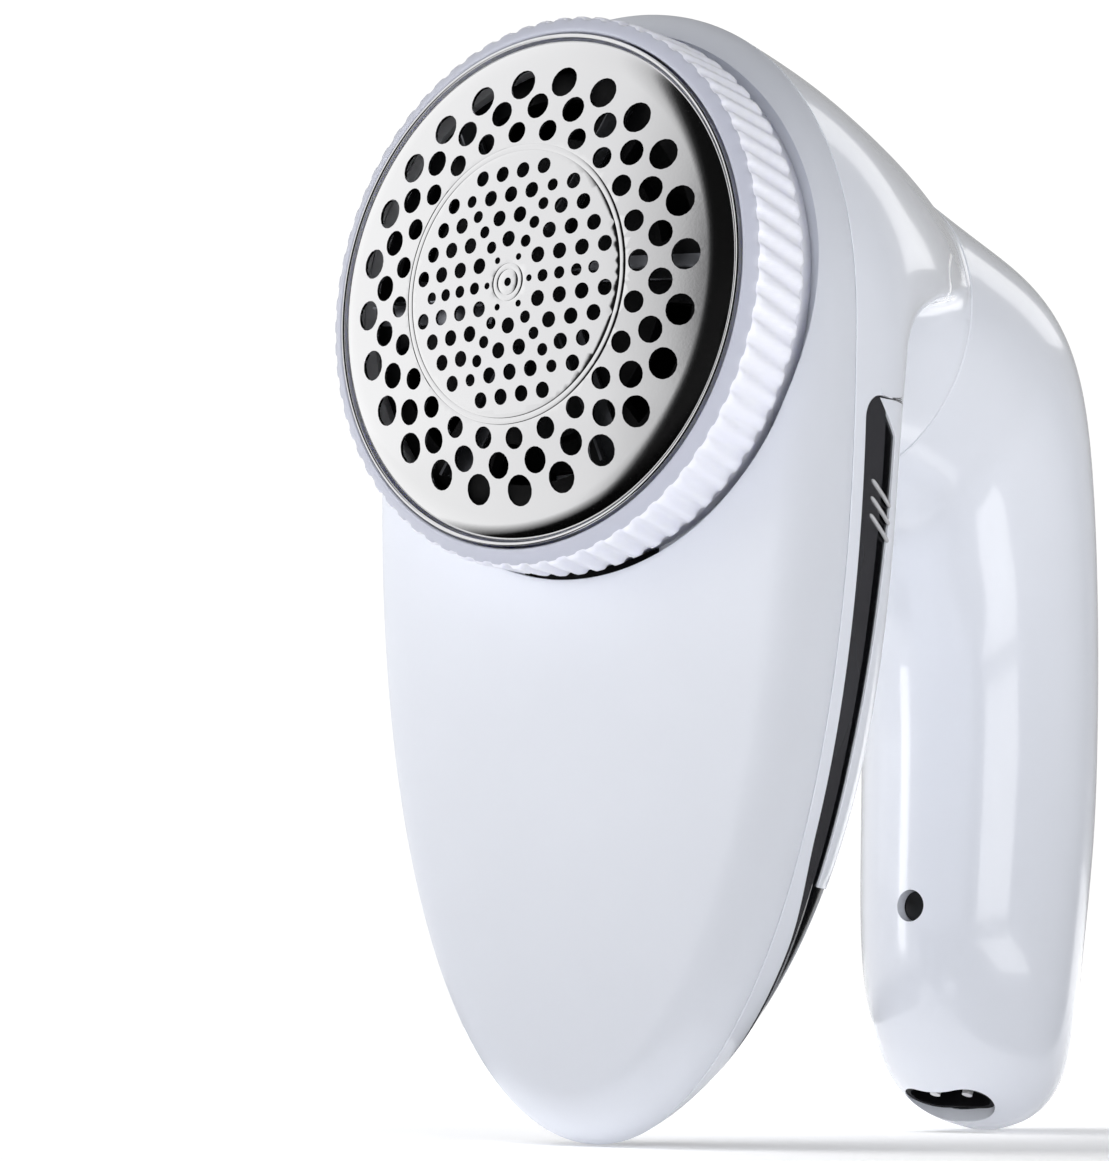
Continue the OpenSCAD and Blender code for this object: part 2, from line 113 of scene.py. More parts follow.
HAIR = 0.09            # half of the seam's gap
LINE_GAP = 0.2         # the joint's gap, drawn finer than in the CAD
FRONT_WALL = 1.9
BOX_WALL = 1.4
WELL_R = 38.12         # the round well that the knurled ring sits in
WELL_Y = 16.4
WELL_MOUTH_R = 33.4
GROOVES = (1.75, 2.6, 18.3, 19.15)   # radii of the foil's fine circles
GROOVE_HALF = 0.10
GROOVE_DEPTH = 0.075
HEM_R = 0.26
RIDGE_R = 0.3
RIDGE_REACH = 2.9      # half of a grip ridge's length

WELD = 2e-3            # points this close are joined


def place(points):
    """Head frame in millimetres to part frame in metres."""
    return (np.asarray(points, float) + HEAD_ORIGIN) / 1000


# ---- curves and surfaces -----------------------------------------------------------

def mix(a, b, w):
    return a * (1 - w) + b * w


def ease(w):
    return w * w * (3 - 2 * w)


def spline(p, u):
    """Uniform cubic B-spline through control values p (count, ...) at parameters u."""
    p = np.asarray(p, float)
    p = np.concatenate([[2 * p[0] - p[1]], p, [2 * p[-1] - p[-2]]])
    u = np.atleast_1d(np.asarray(u, float))
    i = np.minimum(np.floor(u).astype(int), len(p) - 4)
    f = (u - i).reshape((-1,) + (1,) * (p.ndim - 1))
    return ((1 - f) ** 3 * p[i] + (3 * f ** 3 - 6 * f ** 2 + 4) * p[i + 1]
            + (-3 * f ** 3 + 3 * f ** 2 + 3 * f + 1) * p[i + 2] + f ** 3 * p[i + 3]) / 6


def egg(t, inset=0.0):
    """x and z of the body's outline; t in degrees from the top, 90 at +X."""
    t = np.radians(t)
    c = np.cos(t)
    height = np.where(c > 0, RISE, DROP) - inset
    return (HALF_W - inset) * np.sin(t), WIDEST_Z + height * np.sign(c) * np.abs(c) ** OUTLINE_POWER


# the rear surface runs from the seam to the joint along one of these, as rows of (share of the way in
# from the outline to the joint, y); they blend into each other round the body
PROFILE_TOP = np.array([[0, 20], [.08, 25], [.19, 32], [.32, 40], [.5, 50], [.68, 60], [.84, 68], [1, 75.1]])
PROFILE_SIDE = np.array([[0, 20], [0, 26], [.05, 33], [.17, 40], [.35, 49], [.57, 58], [.8, 66], [1, 72.6]])
PROFILE_LOW = np.array([[0, 20], [0, 26.4], [.02, 32], [.2, 34], [.52, 34.4], [.84, 37], [1, 50], [1, 71.4]])
PROFILE_TIP = np.array([[0, 20], [.012, 23], [.07, 27], [.26, 32.6], [.55, 34.6], [.84, 35], [.985, 48],
                        [1, 70.1]])
SIDE_AT, LOW_FROM, LOW_TO = 80, 100, 114   # angles where the side's and the low one stand unblended
U_END = 7.0


def profile(t):
    t = 360 - t if t > 180 else t
    if t < SIDE_AT:
        return mix(PROFILE_TOP, PROFILE_SIDE, ease(t / SIDE_AT))
    if t < LOW_FROM:
        return mix(PROFILE_SIDE, PROFILE_LOW, ease((t - SIDE_AT) / (LOW_FROM - SIDE_AT)))
    if t < LOW_TO:
        return PROFILE_LOW
    return mix(PROFILE_LOW, PROFILE_TIP, ease((t - LOW_TO) / (180 - LOW_TO)))


def joint_ring(t, r, s=0.0):
    """Points round the swivel axis at radius r and distance s along it."""
    t = np.radians(np.atleast_1d(t))
    return JOINT_C + np.stack([r * np.sin(t), r * np.cos(t) * math.sin(JOINT_TILT) + s * math.cos(JOINT_TILT),
                               r * np.cos(t) * math.cos(JOINT_TILT) - s * math.sin(JOINT_TILT)], -1)


def rear(t, u):
    """Points of the rear surface at angle t and parameters u, 0 at the seam and U_END at the joint."""
    q = spline(profile(t), u)
    x, z = egg(t)
    end = joint_ring(t, JOINT_R)[0]
    return np.stack([mix(x, end[0], q[:, 0]), q[:, 1], mix(z, end[2], q[:, 0])], -1)


def rim_at(z):
    return RIM_Y + RIM_STEP * ease(np.clip((STEP_TOP - z) / STEP_LENGTH, 0, 1))


def in_bay(p, grow):
    """Whether points lie in the lint box's bay, widened by grow."""
    x, y, z = p[:, 0], p[:, 1], p[:, 2]
    inside = (z < SLOT_TOP + grow) & (y > rim_at(z) - grow) & (np.hypot(x, z - JOINT_C[2]) > ARCH_R - grow)
    corner = (z > SLOT_TOP - SLOT_ROUND) & (y < RIM_Y + SLOT_ROUND)
    rounded = np.hypot(y - RIM_Y - SLOT_ROUND, z - SLOT_TOP + SLOT_ROUND) < SLOT_ROUND + grow
    return inside & (~corner | rounded)


def bay_front(z, grow=0.0):
    """Where the bay's front face stands at height z: it curves back under the slot's round top."""
    rise = np.clip(z - SLOT_TOP + SLOT_ROUND, 0, SLOT_ROUND + grow)
    return rim_at(z) - grow + SLOT_ROUND + grow - np.sqrt((SLOT_ROUND + grow) ** 2 - rise ** 2)


# (z, y) along the line between the dark band and the white panel behind it
BAND_EDGE = np.array([[-130, 26.3], [-80, 26.3], [-62, 27.0], [-40, 28.4], [-20, 29.9], [-15.2, 25.4],
                      [-10, 20.5]])
FORE_SHARE = 0.62   # the share of the band's width that its raised front part takes
FORE_TOP = -20      # above this height that part keeps its width


def band_edge(z):
    return np.interp(z, BAND_EDGE[:, 0], BAND_EDGE[:, 1])


def in_band(p):
    """Whether points belong to the dark band and not to the white panel behind it."""
    return (p[:, 1] < band_edge(p[:, 2])) | (p[:, 2] < PANEL_END)


def in_fore_band(p):
    """Whether points belong to the band's raised front part."""
    rear_edge = np.maximum(band_edge(np.minimum(p[:, 2], FORE_TOP)), RIM_Y)
    return p[:, 1] < mix(RIM_Y, rear_edge, FORE_SHARE)


def bisect(holds, a, b, steps):
    """Closes in on where holds() changes between a, where it is true, and b, where it isn't."""
    for _ in range(steps):
        middle = (a + b) / 2
        if holds(middle):
            a = middle
        else:
            b = middle
    return a, b


def crossing(t, test, a, b):
    """The parameter between a and b at which test changes, given that it holds at a and not at b."""
    a, b = bisect(lambda u: test(rear(t, [u]))[0], a, b, 26)
    return (a + b) / 2


def bay_span(t, grow):
    """(first, last) parameter of the bay along the surface at angle t, or None outside it."""

    def test(p):
        return in_bay(p, grow)

    u = np.linspace(0, U_END, 561)
    inside = np.nonzero(test(rear(t, u)))[0]
    if not len(inside):
        return None
    before, after = max(inside[0] - 1, 0), min(inside[-1] + 1, len(u) - 1)
    return crossing(t, test, u[inside[0]], u[before]), crossing(t, test, u[inside[-1]], u[after])


def bay_start(grow):
    """The angle at which the bay's rounded top begins."""
    return bisect(lambda t: bay_span(t, grow) is None, 80.0, 110.0, 24)[1]


# ---- mesh helpers -------------------------------------------------------------------

def grid_faces(rows, cols, wrap):
    """Quads over a grid of rows x cols points, wrapping round the columns if asked."""
    out = []
    for i in range(rows - 1):
        for j in range(cols if wrap else cols - 1):
            k = (j + 1) % cols
            out.append((i * cols + j, i * cols + k, (i + 1) * cols + k, (i + 1) * cols + j))
    return out


def shifted(faces, base):
    return [tuple(base + i for i in face) for face in faces]


def closing_faces(rows, cols):
    """Quads that join the last row of a wrapped grid back to its first."""
    last = (rows - 1) * cols
    return [(last + k, last + (k + 1) % cols, (k + 1) % cols, k) for k in range(cols)]


def add_object(name, data):
    obj = bpy.data.objects.new(name, data)
    bpy.context.scene.collection.objects.link(obj)
    return obj


@contextmanager
def edited(mesh):
    """A bmesh of the mesh, written back at the end."""
    bm = bmesh.new()
    bm.from_mesh(mesh)
    yield bm
    bm.to_mesh(mesh)
    bm.free()


def smooth_faces(bm):
    for face in bm.faces:
        face.smooth = True


def keep_crisp(bm, angle):
    """Smooths the faces and keeps edges sharper than angle crisp."""
    smooth_faces(bm)
    for edge in bm.edges:
        edge.smooth = not (edge.is_manifold and edge.calc_face_angle(0) > math.radians(angle))


def face_outwards(obj):
    with edited(obj.data) as bm:
        bmesh.ops.recalc_face_normals(bm, faces=bm.faces)


def build(name, points, faces, weld=0.0):
    """A mesh object from head-frame points in millimetres."""
    mesh = bpy.data.meshes.new(name)
    mesh.from_pydata([tuple(p) for p in place(points)], [], faces)
    with edited(mesh) as bm:
        if weld:
            bmesh.ops.remove_doubles(bm, verts=bm.verts, dist=weld / 1000)
            bmesh.ops.dissolve_degenerate(bm, edges=bm.edges, dist=1e-7)
        smooth_faces(bm)
    return add_object(name, mesh)


def modify(obj, kind, **settings):
    modifier = obj.modifiers.new(kind.lower(), kind)
    for key, value in settings.items():
        setattr(modifier, key, value)


def apply_modifiers(obj):
    bpy.context.view_layer.update()
    done = bpy.data.meshes.new_from_object(obj.evaluated_get(bpy.context.evaluated_depsgraph_get()))
    obj.modifiers.clear()
    old = obj.data
    obj.data = done
    bpy.data.meshes.remove(old)


def even_shading(obj, weight=60):
    modify(obj, "WEIGHTED_NORMAL", weight=weight, keep_sharp=True)


def finish_edges(obj, width, angle, segments=3):
    """Rolls the edges sharper than angle and evens the shading."""
    modify(obj, "BEVEL", width=width / 1000, segments=segments, limit_method="ANGLE",
           angle_limit=math.radians(angle), use_clamp_overlap=False, harden_normals=False)
    even_shading(obj)


def shell(obj, thickness, edge):
    """Gives an outer surface its wall and rolled edges."""
    modify(obj, "SOLIDIFY", thickness=thickness / 1000, offset=-1, use_even_offset=False)
    finish_edges(obj, edge, 55)


def settle(obj, angle):
    apply_modifiers(obj)
    with edited(obj.data) as bm:
        keep_crisp(bm, angle)


def cut(obj, tool):
    modify(obj, "BOOLEAN", operation="DIFFERENCE", object=tool, solver="EXACT")
    apply_modifiers(obj)
    bpy.data.objects.remove(tool)


def lathe(name, line, centre, steps=96, closed=False):
    """A solid turned about +Y. line holds (radius, distance along the axis) from centre."""
    axis = Vector((0, 1, 0))
    side = axis.orthogonal().normalized()
    over = axis.cross(side)
    points = []
    for r, h in line:
        for k in range(steps):
            a = 2 * math.pi * k / steps
            points.append(np.add(centre, side * (r * math.cos(a)) + over * (r * math.sin(a)) + axis * h))
    faces = grid_faces(len(line), steps, True)
    if closed:
        faces += closing_faces(len(line), steps)
    obj = build(name, points, faces, weld=1e-4)
    with edited(obj.data) as bm:
        bmesh.ops.holes_fill(bm, edges=[e for e in bm.edges if e.is_boundary], sides=steps)
        bmesh.ops.recalc_face_normals(bm, faces=bm.faces)
        smooth_faces(bm)
    return obj


def prism(name, outline, depth, origin, x_axis, y_axis):
    """A straight prism over a closed 2-D outline, from origin along x_axis x y_axis."""
    x_axis, y_axis = Vector(x_axis).normalized(), Vector(y_axis).normalized()
    up = x_axis.cross(y_axis)
    points = [np.add(origin, x_axis * a + y_axis * b + up * h) for h in depth for a, b in outline]
    n = len(outline)
    faces = [tuple(range(n - 1, -1, -1)), tuple(range(n, 2 * n))]
    faces += [(k, (k + 1) % n, n + (k + 1) % n, n + k) for k in range(n)]
    return build(name, points, faces)


def block(name, x, y, z):
    """A box; x, y and z each hold the two ends of its reach."""
    outline = [(x[0], z[0]), (x[1], z[0]), (x[1], z[1]), (x[0], z[1])]
    return prism(name, outline, (-y[1], -y[0]), (0, 0, 0), (1, 0, 0), (0, 0, 1))


def stadium(width, height, steps=24):
    """A slot's outline: two half circles and the straight sides between them."""
    r, shift = height / 2, (width - height) / 2
    half = [(shift + r * math.cos(a), r * math.sin(a)) for a in np.linspace(-math.pi / 2, math.pi / 2, steps)]
    return half + [(-x, -y) for x, y in half]


# ---- materials ----------------------------------------------------------------------

def add_node(tree, kind, values=(), operation=None):
    """A shader node with its input values set."""
    node = tree.nodes.new("ShaderNode" + kind)
    if operation:
        node.operation = operation
    set_inputs(node, values)
    return node


def set_inputs(node, values):
    for name, value in dict(values).items():
        node.inputs[name].default_value = value


def material(name, color, rough, metal=0.0, coat=0.0, coat_rough=0.1, grain=900.0, bump=0.02,
             tint=0.03, rough_spread=0.06, ior=1.46, subsurface=0.0):
    """Moulded or machined surface: fine grain in the relief, slow drift in colour and gloss."""
    mat = bpy.data.materials.new(name)
    mat.use_nodes = True
    tree = mat.node_tree
    bsdf = tree.nodes["Principled BSDF"]
    link = tree.links.new
    coords = add_node(tree, "TexCoord").outputs["Object"]

    drift = add_node(tree, "TexNoise", {"Scale": 38, "Detail": 3})
    link(coords, drift.inputs["Vector"])
    ramp = add_node(tree, "ValToRGB")
    for stop, position, share in zip(ramp.color_ramp.elements, (0.3, 0.7), (1 - tint, 1 + tint * 0.4)):
        stop.position = position
        stop.color = [min(c * share, 1) for c in color] + [1]
    link(drift.outputs["Fac"], ramp.inputs["Fac"])
    link(ramp.outputs["Color"], bsdf.inputs["Base Color"])

    fine = add_node(tree, "TexNoise", {"Scale": grain, "Detail": 4})
    link(coords, fine.inputs["Vector"])
    spread = add_node(tree, "MapRange", {"To Min": max(rough - rough_spread, 0.02),
                                         "To Max": rough + rough_spread})
    link(fine.outputs["Fac"], spread.inputs["Value"])
    link(spread.outputs["Result"], bsdf.inputs["Roughness"])

    relief = add_node(tree, "Bump", {"Strength": bump, "Distance": 0.0002})
    link(fine.outputs["Fac"], relief.inputs["Height"])
    link(relief.outputs["Normal"], bsdf.inputs["Normal"])

    set_inputs(bsdf, {"Metallic": metal, "Coat Weight": coat, "Coat Roughness": coat_rough, "IOR": ior})
    if subsurface:
        set_inputs(bsdf, {"Subsurface Weight": subsurface, "Subsurface Radius": (0.0012, 0.0012, 0.0016),
                          "Subsurface Scale": 1.0})
    return mat


LOOKS = {
    # one for each slot in the record
    "white_satin": dict(color=(0.795, 0.82, 0.885), rough=0.38, coat=0.12, coat_rough=0.25, grain=1400,
                        bump=0.03, tint=0.015),
    "white_gloss": dict(color=(0.785, 0.81, 0.875), rough=0.24, coat=1.0, coat_rough=0.08, grain=700,
                        bump=0.012, tint=0.015, rough_spread=0.03),
    "ring_plastic": dict(color=(0.84, 0.85, 0.93), rough=0.34, coat=0.2, coat_rough=0.2, grain=1200,
                         bump=0.02, tint=0.01, subsurface=0.25),
    "inner_plastic": dict(color=(0.62, 0.63, 0.66), rough=0.5, grain=1500, bump=0.08),
    "smoke_plastic": dict(color=(0.05, 0.05, 0.055), rough=0.16, coat=1.0, coat_rough=0.04, grain=800,
                          bump=0.01, tint=0.2, rough_spread=0.03),
    "black_plastic": dict(color=(0.005, 0.005, 0.006), rough=0.5, grain=1500, bump=0.08, tint=0.2, ior=1.2),
    "foil_steel": dict(color=(0.90, 0.90, 0.905), rough=0.10, metal=1, grain=2600, bump=0.015, tint=0.02,
                       rough_spread=0.03),
    "bright_steel": dict(color=(0.62, 0.63, 0.65), rough=0.24, metal=1, grain=1800, bump=0.06, tint=0.06),
    "brass": dict(color=(0.70, 0.50, 0.22), rough=0.3, metal=1, grain=1500, bump=0.05, tint=0.08),
    "button_plastic": dict(color=(0.70, 0.73, 0.80), rough=0.45, grain=1300, bump=0.08, tint=0.03),
    "board_green": dict(color=(0.02, 0.13, 0.06), rough=0.35, coat=0.4, grain=900, bump=0.05, tint=0.15),
    "cell_wrap": dict(color=(0.03, 0.12, 0.38), rough=0.25, coat=0.3, grain=500, bump=0.02, tint=0.1),
    "lens": dict(color=(0.006, 0.006, 0.007), rough=0.5, grain=900, bump=0.03, tint=0.2),
    "lead_cover": dict(color=(0.25, 0.02, 0.02), rough=0.5, grain=1200, bump=0.05, tint=0.1),
    # and for parts that look different from their slot
    # a darker copy of the ring's plastic: painted shade for the smooth lip in front of the ribs
    "ring_painted_shade": dict(color=(0.50, 0.515, 0.60), rough=0.34, coat=0.2, coat_rough=0.2, grain=1200,
                       tint=0.01),
    # steel darkened to a dull grey: painted shade, so the space behind the foil's holes reads dark
    "blade_steel_painted_shade": dict(color=(0.15, 0.155, 0.17), rough=0.36, metal=0.9, grain=1800, bump=0.05, tint=0.08),
    # a blacker copy of the smoky plastic: painted shade for the band's recessed rear part
    "band_painted_shade": dict(color=(0.002, 0.002, 0.003), rough=0.2, coat=0.3, coat_rough=0.06, grain=800,
                       bump=0.01, tint=0.2),
    # a light grey that stands in for the glints along the grip ridges: painted highlight
    "ridge_painted_highlight": dict(color=(0.48, 0.48, 0.50), rough=0.18, coat=1.0, coat_rough=0.04, grain=800, bump=0.01,
                  tint=0.1),
    "print_white": dict(color=(0.97, 0.97, 0.98), rough=0.35, grain=1600, bump=0.02, tint=0.01),
    "pin_metal": dict(color=(0.86, 0.86, 0.86), rough=0.35, metal=0.35, grain=1600, bump=0.03, tint=0.04),
}
MATERIALS = {name: material(name, **look) for name, look in LOOKS.items()}
# the blades take the darkened steel, painted shade
OWN_LOOK = {"charging_pins": "pin_metal", "blades": "blade_steel_painted_shade"}

for row in frame["record"]["subparts"]:
    cad = frame["nodes"][row["node"]]
    cad.data.materials.clear()
    cad.data.materials.append(MATERIALS[OWN_LOOK.get(row["node"], row["material_slot"])])


def piece(obj, body, slot, *nodes, look=None, second=None):
    """Finishes a mesh: parents it under its body's empty, gives it the material of its slot or of its own
    look, and hides the CAD nodes it stands for.
    """
    tone = [face.material_index for face in obj.data.polygons]
    obj.data.materials.clear()
    obj.data.materials.append(MATERIALS[look or slot])
    if second:
        obj.data.materials.append(MATERIALS[second])
        for face, value in zip(obj.data.polygons, tone):
            face.material_index = value
    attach(obj, body)
    if nodes:
        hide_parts(*nodes)


# ---- front shell --------------------------------------------------------------------

COLUMNS = 288


def edge_outline(t, turn):
    """x and z of the front shell's rounded edge; turn runs from 0 at the flat face to 90 at the seam."""
    return np.stack(egg(t, FACE_EDGE * (1 - np.sin(np.radians(turn)))), -1)


def edge_depth(turn):
    return FACE_Y + (SEAM_Y - HAIR - FACE_Y) * (1 - np.cos(np.radians(turn)))


def front_shell():
    t = np.arange(COLUMNS) * 360 / COLUMNS
    # where the well meets the rounded edge instead of the flat face
    low, high = np.zeros(COLUMNS), np.full(COLUMNS, 90.0)
    for _ in range(30):
        middle = (low + high) / 2
        inner = np.hypot(*edge_outline(t, middle).T) < WELL_R
        low, high = np.where(inner, middle, low), np.where(inner, high, middle)
    first = np.where(np.hypot(*edge_outline(t, 0).T) < WELL_R, low, 0.0)
    start = edge_outline(t, first)
    mouth = start * (WELL_R / np.hypot(*start.T))[:, None]
    rows = [np.insert(mouth * (WELL_MOUTH_R / WELL_R), 1, WELL_Y, 1), np.insert(mouth, 1, WELL_Y, 1)]
    for share in [0, .02, .15, .35, .6, .85, .97]:
        rows.append(np.insert(mix(mouth, start, share), 1, edge_depth(first), 1))
    for share in np.linspace(0, 1, 24):
        turn = mix(first, 90, share)
        rows.append(np.insert(edge_outline(t, turn), 1, edge_depth(turn), 1))
    obj = build("front_cover", np.concatenate(rows), grid_faces(len(rows), COLUMNS, True), weld=WELD)
    shell(obj, FRONT_WALL, 0.14)
    piece(obj, "head", "white_satin", "front_shell")


# ---- rear shell, lint box and its panel -----------------------------------------------

def bay_columns(start, count):
    """Angles from start to 360 - start, closer together near both ends."""
    half = start + (180 - start) * np.linspace(0, 1, count) ** 1.6
    return np.concatenate([half, (360 - half)[::-1][1:]])


def rear_shell():
    """The rear surface in two sheets, in front of the bay and behind it, which meet beyond the bay's top."""
    grow = 0.02
    start = bay_start(grow) + 1e-3
    bay = bay_columns(start, 120)
    close = 0.12   # extra columns this near the bay keep its top crisp
    outside = np.linspace(360 - start, 360 + start, 140)[1:-1]
    outside = np.concatenate([[360 - start + close], outside, [360 + start - close]]) % 360
    columns = np.concatenate([bay, outside])
    spans = [bay_span(t, grow) for t in bay]
    middle = sum(spans[0]) / 2
    spans[0] = spans[-1] = (middle, middle)
    spans += [(middle, middle)] * len(outside)
    front_rows, roof_rows, back_rows = 9, 5, 84
    front, back = [], []
    for t, (first, last) in zip(columns, spans):
        before = rear(t, np.linspace(0, first, front_rows))
        before[0, 1] = SEAM_Y + HAIR
        front.append(before)
        after = rear(t, last + (U_END - last) * np.linspace(0, 1, back_rows))
        after[-1] = joint_ring(t, JOINT_R)[0]
        roof = np.repeat(after[:1], roof_rows, 0)
        if last > first:
            roof[:, 1] = mix(bay_front(after[0, 2], grow) - 0.1, after[0, 1], np.linspace(0, 1, roof_rows))
        back.append(np.concatenate([roof, after[1:]]))
    count = len(columns)
    points = np.concatenate([np.stack(front, 1).reshape(-1, 3), np.stack(back, 1).reshape(-1, 3)])
    faces = grid_faces(front_rows, count, True)
    faces += shifted(grid_faces(roof_rows + back_rows - 1, count, True), front_rows * count)
    obj = build("rear_cover", points, faces, weld=WELD)
    shell(obj, WALL, 0.1)
    piece(obj, "head", "white_gloss", "rear_shell")


def bay_surface(t, grow):
    """(first, split, last) parameters of the lint box's own surface at angle t."""
    first, last = bay_span(t, grow)
    u = np.linspace(first, last, 241)
    band = in_band(rear(t, u))
    if not band.any():
        return first, first, last
    end = np.nonzero(band)[0][-1]
    if end == len(u) - 1:
        return first, last, last
    return first, crossing(t, in_band, u[end], u[end + 1]), last


def band_strips(columns, spans, grow, gap):
    """Grids of points for the band's raised front part, its recessed rear part and the walls behind them."""
    step = 0.35   # how far the rear part lies back
    fore, aft, walls = [], [], []
    for t, (first, split, last) in zip(columns, spans):
        split = max(split - gap, first + 1e-3)
        raised = in_fore_band(rear(t, [first]))[0]
        edge = crossing(t, in_fore_band, first, split) if raised else first + 1e-4
        edge = min(edge, split - 5e-4)
        fore.append(rear(t, np.linspace(first, edge, 12)))
        back = rear(t, np.linspace(edge, split, 16))
        inward = np.array([-back[0, 0], 0, WIDEST_Z - back[0, 2]])
        depth = step * np.minimum(np.arange(16), 1) * min(1, (split - first) / 0.3)
        aft.append(back + np.outer(depth, inward / np.linalg.norm(inward)))
        # the arch over the box and its front wall close it
        top, foot = rear(t, [last])[0], rear(t, [first])[0]
        corner = np.array([top[0], bay_front(top[2], grow), top[2]])
        arch = [mix(top, corner, share) for share in np.linspace(0, 1, 7)]
        wall = [mix(corner, foot, share) for share in np.linspace(0, 1, 16)[1:]]
        for point in wall:
            point[1] = bay_front(point[2], grow)
        walls.append(np.array(arch + wall))
    return np.stack(fore, 1), np.stack(aft, 1), np.stack(walls, 1)


def lint_box():
    grow = -0.03
    gap = 0.012   # half of the line between band and panel, as a surface parameter
    columns = bay_columns(bay_start(grow) + 0.1, 130)
    spans = [bay_surface(t, grow) for t in columns]
    points, faces, tone = [], [], []
    for part, rows in enumerate(band_strips(columns, spans, grow, gap)):
        new = shifted(grid_faces(rows.shape[0], rows.shape[1], False), sum(len(q) for q in points))
        points.append(rows.reshape(-1, 3))
        faces += [f[::-1] for f in new] if part == 2 else new
        # the recessed rear part takes the second material, painted shade
        tone += [int(part == 1)] * len(new)
    band = build("lint_box_band", np.concatenate(points), faces)
    for _ in range(2):
        band.data.materials.append(None)
    for face, value in zip(band.data.polygons, tone):
        face.material_index = value
    with edited(band.data) as bm:
        bmesh.ops.remove_doubles(bm, verts=bm.verts, dist=2e-6)
    modify(band, "SOLIDIFY", thickness=BOX_WALL / 1000, offset=-1, use_even_offset=False)
    # the window that the lint comes in by
    cut(band, block("cut_window", (-9.5, 9.5), (20, 26), (-44, -34)))
    settle(band, 50)
    even_shading(band)
    # the second material paints shade on the band's rear part
    piece(band, "lint_unit", "smoke_plastic", "lint_box", second="band_painted_shade")

    kept = [(t, split, last) for t, (first, split, last) in zip(columns, spans) if last - split > 0.06]
    strips = [rear(t, np.linspace(split + gap, last, 60)) for t, split, last in kept]
    panel = build("lint_box_panel", np.stack(strips, 1).reshape(-1, 3), grid_faces(60, len(strips), False))
    shell(panel, BOX_WALL, 0.08)
    piece(panel, "lint_unit", "white_gloss", "lint_panel")


# ---- handle ----------------------------------------------------------------------------

# rings from the joint to the tip: centre's y and z, turn from upright in degrees, half depth, half width
HANDLE_STATIONS = [
    [72.6, 6.5, 6, JOINT_R, JOINT_R],
    [80.5, 5.0, 10.5, 23.6, 23.4],
    [89, 3.4, 17, 23.7, 22.7],
    [97, 1.6, 25.5, 24.6, 21.6],
    [103, -2.8, 34.5, 26.3, 20.7],
    [106.8, -9.7, 41, 26.1, 20],
    [109.3, -18, 48, 23.6, 19.4],
    [110.9, -28, 58, 20.8, 19],
    [111.7, -39, 70, 18.9, 18.7],
    [112, -51, 82, 18, HANDLE_HALF_W],
    [111.6, -66, 90, 17.9, HANDLE_HALF_W - .3],
    [110.1, -82, 90, 17.2, HANDLE_HALF_W - 1.2],
    [110.2, -92, 90, 16.2, HANDLE_HALF_W - 2.2],
    [111, -100, 90, 14.6, HANDLE_HALF_W - 3.8],
    [111.9, -106, 90, 11.9, HANDLE_HALF_W - 6.6],
    [113.3, -109.6, 90, 7, HANDLE_HALF_W - 11.5],
    [114, -110.8, 90, 2, 2],
]
TIP_START = 12   # from this station on, the rings run closer together


def station_ring(station, t):
    y, z, turn, half_depth, half_width = station
    t, turn = np.radians(t), math.radians(turn)
    return np.stack([half_width * np.sin(t), y + half_depth * np.cos(t) * math.sin(turn),
                     z + half_depth * np.cos(t) * math.cos(turn)], -1)


def handle_rings(t):
    """Rings of the outer surface: a rolled lip at the joint, the elbow, the grip and its closed end."""
    last = len(HANDLE_STATIONS) - 1
    u = np.concatenate([np.linspace(0, TIP_START, 132), np.linspace(TIP_START, last, 66)[1:]])
    rings = [station_ring(station, t) for station in spline(HANDLE_STATIONS, u)[1:]]
    lip = 0.25
    mouth = joint_ring(t, JOINT_R - lip, LINE_GAP)
    kept = [ring for ring in rings if ring[:, 1].min() > mouth[:, 1].min()
            and ((ring - JOINT_C) @ JOINT_AXIS).min() > JOINT_GAP + 0.4]
    rolled = [joint_ring(t, JOINT_R - lip * (1 - math.sin(a)), LINE_GAP + lip * (1 - math.cos(a)))
              for a in np.radians([22, 45, 67, 90])]
    rings = [mouth] + rolled + kept
    centre = rings[-1].mean(0)
    for share in (0.6, 0.2):
        rings.append(centre + (rings[-1] - rings[-1].mean(0)) * share + np.array([0, 0, -0.05]))
    return rings


def cut_handle(obj):
    # charging port: a straight pocket
    across = Vector((1, 0, 0))
    out = Vector((0, -math.cos(PORT_TILT), -math.sin(PORT_TILT)))
    cut(obj, prism("cut_port", stadium(PORT_W, PORT_H), (-9, 12), PORT_C, across, -out.cross(across)))
    # indicator: a flared hole
    flare = [(2.9, -3), (2.6, -0.1), (2.45, 0.1), (LENS_R, 0.4), (LENS_R, 6)]
    cut(obj, lathe("cut_lens", flare, (0, 92.75, LENS_Z), steps=64))
    # back cover: a fine parting line, the button's hole and two screw wells
    line = 0.12
    corners = [(-COVER_HALF_W, COVER_TOP), (COVER_HALF_W, COVER_TOP), (COVER_HALF_W, COVER_END),
               (-COVER_HALF_W, COVER_END)]
    for a, b in zip(corners, corners[1:] + corners[:1]):
        x = min(a[0], b[0]) - line, max(a[0], b[0]) + line
        z = min(a[1], b[1]) - line, max(a[1], b[1]) + line
        cut(obj, block("cut_seam", x, (118, 140), z))
    hole = [(BUTTON_R + .3, 0), (BUTTON_R + .3, 20)]
    cut(obj, lathe("cut_button", hole, (0, 119, BUTTON_Z), steps=72))
    for z, seat in SCREWS:
        cut(obj, lathe("cut_screw", [(SCREW_WELL_R, 0), (SCREW_WELL_R, 14)], (0, seat, z), steps=48))


